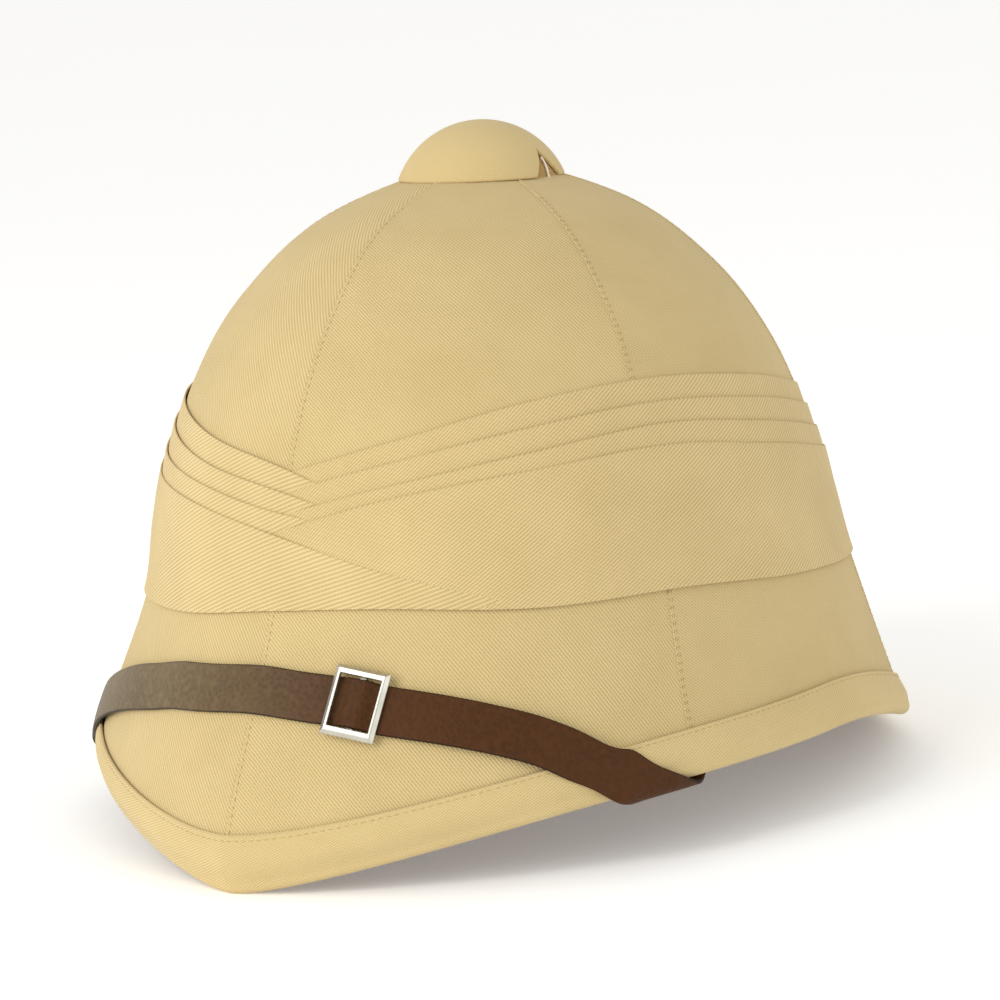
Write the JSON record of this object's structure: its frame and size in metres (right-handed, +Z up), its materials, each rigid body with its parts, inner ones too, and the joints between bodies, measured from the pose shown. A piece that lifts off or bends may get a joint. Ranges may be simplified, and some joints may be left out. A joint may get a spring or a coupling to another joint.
{
  "type": "pith helmet",
  "caption": "Domed cork sun helmet covered in khaki cotton twill, with a bound brim, a pleated scarf round the crown, a covered top button and a leather chin strap worn up over the peak.",
  "frame": {"origin": "centre of the footprint, on the ground that the brim rests on", "axes": "+Z up, front of the helmet towards -Y, the wearer's left towards +X"},
  "size_m": [0.2568, 0.3072, 0.2197],
  "materials": {
    "cork": "pressed cork, matt",
    "cover_twill": "khaki cotton twill, matt",
    "binding_twill": "khaki cotton twill tape cut on the bias, matt",
    "scarf_twill": "khaki cotton twill, pleated, matt",
    "leather": "brown pebbled leather with black edges, satin",
    "nickel": "polished nickel plate"
  },
  "bodies": {
    "root": {"shell": "cork", "brim_binding": "binding_twill", "button": "cover_twill", "chin_strap": "leather", "buckle": "nickel", "cover_panel_front_left": "cover_twill", "cover_panel_side_left": "cover_twill", "cover_panel_rear_left": "cover_twill", "cover_panel_rear_right": "cover_twill", "cover_panel_side_right": "cover_twill", "cover_panel_front_right": "cover_twill", "scarf_fold_left_1": "scarf_twill", "scarf_fold_right_1": "scarf_twill", "scarf_fold_left_2": "scarf_twill", "scarf_fold_right_2": "scarf_twill", "scarf_fold_left_3": "scarf_twill", "scarf_fold_right_3": "scarf_twill", "scarf_fold_left_4": "scarf_twill", "scarf_fold_right_4": "scarf_twill"}
  },
  "joints": []
}
